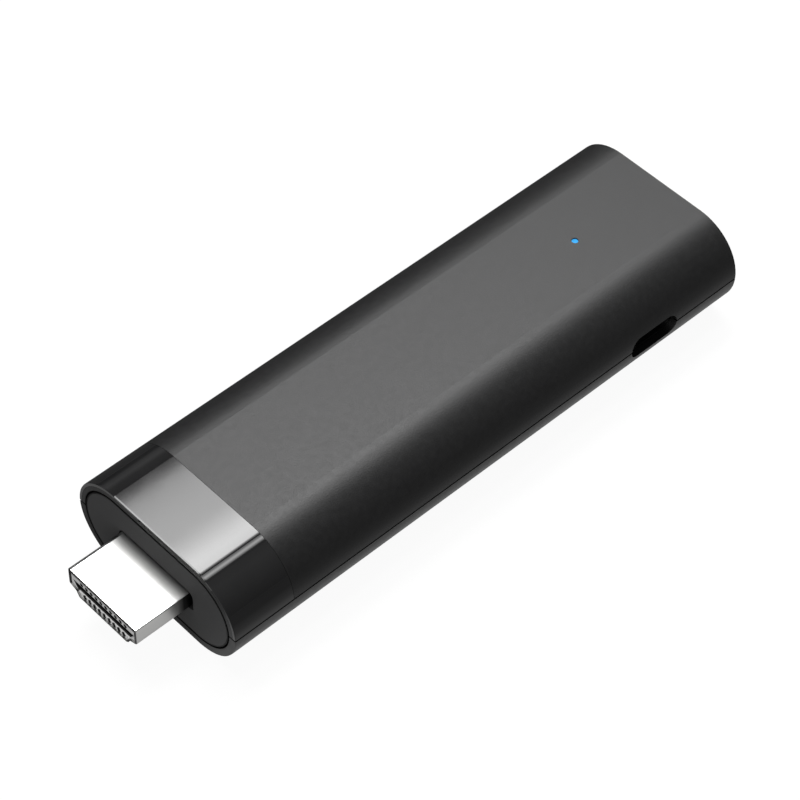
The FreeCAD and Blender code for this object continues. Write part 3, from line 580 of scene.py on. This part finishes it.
room = bpy.data.worlds.new("room")
room.use_nodes = True
room_shine = room.node_tree.nodes["Background"]
room_shine.inputs["Color"].default_value = (1, 1, 1, 1)
room_level = add_node(room, "ShaderNodeMapRange")
room_level.inputs["To Min"].default_value = room_light
room_level.inputs["To Max"].default_value = room_white
join(room, white_seen(room, 1, room_in_gloss), room_level.inputs["Value"])
join(room, room_level.outputs["Result"], room_shine.inputs["Strength"])
bpy.context.scene.world = room


# A square lit card stands upright in front of the plug, out of the picture. It
# lights the plug's front face and the end plate.
front_card_half = 0.4
front_card_place = (-0.9, -0.3, 0.3)
front_card_strength = 3.5


def start_card(name, mesh):
    # Makes the mesh into a glowing card that the camera doesn't see.
    data = bpy.data.meshes.new(name)
    mesh.to_mesh(data)
    mesh.free()
    card = bpy.data.objects.new(name, data)
    card.visible_camera = False
    bpy.context.scene.collection.objects.link(card)
    material = bpy.data.materials.new(name)
    material.use_nodes = True
    material.node_tree.nodes.clear()
    glow = add_node(material, "ShaderNodeEmission")
    out = add_node(material, "ShaderNodeOutputMaterial")
    join(material, glow.outputs["Emission"], out.inputs["Surface"])
    data.materials.append(material)
    return card, material, glow


upright = Matrix.Rotation(math.radians(90), 3, "Y")
front_mesh = bmesh.new()
bmesh.ops.create_grid(front_mesh, x_segments=1, y_segments=1, size=front_card_half)
bmesh.ops.rotate(front_mesh, verts=front_mesh.verts, matrix=upright)
bmesh.ops.translate(front_mesh, verts=front_mesh.verts, vec=front_card_place)
front_card, _, front_glow = start_card("front_card", front_mesh)
front_glow.inputs["Strength"].default_value = front_card_strength


# The main light is one long soft box over the far side, which the flat top of
# the stick mirrors, with a narrow light tube beside it. Both fade towards the
# ends of the stick.
lamp_distance = 0.75
lamp_start, lamp_end = -0.15, 0.72
lamp_along = ((0, 0.6), (0.2, 0.9), (0.45, 1.0), (0.62, 0.83), (0.75, 0.51), (1, 0.1))
box_across = (
    (0, 1.5), (0.06, 1.8), (0.127, 6), (0.211, 12), (0.847, 12.6), (0.866, 9.5), (0.885, 7.1),
    (0.904, 6.95), (0.923, 6.6), (0.942, 6.05), (0.956, 5.4), (0.960, 4.9), (0.963, 3.4),
    (0.967, 2.2), (0.970, 1.5), (0.974, 0.8), (0.985, 0.45), (0.993, 0.3), (1, 0.2))
tube_across = ((0, 0.3), (0.19, 3), (0.423, 6.5), (0.577, 6), (0.77, 3.2), (1, 1.5))


def hang_card(name, angle, distance, width, start, end, across_stops, along_stops):
    # The card runs along X and faces the stick. Its angle is from straight up
    # towards +Y. The stops give its light across the width and along it.
    turn = math.radians(angle)
    outward = Vector((0, math.sin(turn), math.cos(turn)))
    across = Vector((0, math.cos(turn), -math.sin(turn)))
    centre = outward * distance + Vector((0, 0, round_centre))
    mesh = bmesh.new()
    corners = []
    for x, side in ((start, -1), (end, -1), (end, 1), (start, 1)):
        corners.append(mesh.verts.new(centre + across * side * width / 2 + Vector((x, 0, 0))))
    face = mesh.faces.new(corners)
    layer = mesh.loops.layers.uv.new("card")
    for loop, place in zip(face.loops, ((0, 0), (1, 0), (1, 1), (0, 1))):
        loop[layer].uv = place
    card, material, glow = start_card(name, mesh)
    place = add_node(material, "ShaderNodeTexCoord")
    split = add_node(material, "ShaderNodeSeparateXYZ")
    join(material, place.outputs["UV"], split.inputs["Vector"])
    peak = 1
    shares = []
    for axis, stops in (("Y", across_stops), ("X", along_stops)):
        curve = add_node(material, "ShaderNodeFloatCurve")
        line = curve.mapping.curves[0]
        top = max(level for _, level in stops)
        peak *= top
        while len(line.points) < len(stops):
            line.points.new(0.5, 0.5)
        for point, (at, level) in zip(line.points, stops):
            point.location = (at, level / top)
            point.handle_type = "VECTOR"
        curve.mapping.update()
        join(material, split.outputs[axis], curve.inputs["Value"])
        shares.append(curve.outputs["Value"])
    join(material, both(material, *shares), glow.inputs["Color"])
    glow.inputs["Strength"].default_value = peak


hang_card("soft_box", angle=22, distance=lamp_distance, width=0.3188, start=lamp_start,
          end=lamp_end, across_stops=box_across, along_stops=lamp_along)
hang_card("light_tube", angle=1, distance=lamp_distance, width=0.17, start=lamp_start,
          end=lamp_end, across_stops=tube_across, along_stops=lamp_along)


# Two wide grey cards lean in from the near and the far side. The round sides of
# the stick mirror them, with a soft light line where each is brightest.
card_distance = 0.9
card_reach = 0.9
near_across = ((0, 0.12), (0.274, 0.16), (0.494, 0.22), (0.711, 0.28), (0.969, 0.22), (1, 0.1))
far_across = ((0, 0.12), (0.285, 0.16), (0.47, 0.36), (0.655, 0.22), (0.8, 0.04), (1, 0.02))
even_along = ((0, 1), (1, 1))

hang_card("near_card", angle=-48, distance=card_distance, width=1.5, start=-card_reach,
          end=card_reach, across_stops=near_across, along_stops=even_along)
hang_card("far_card", angle=63, distance=card_distance, width=0.86, start=-card_reach,
          end=card_reach, across_stops=far_across, along_stops=even_along)
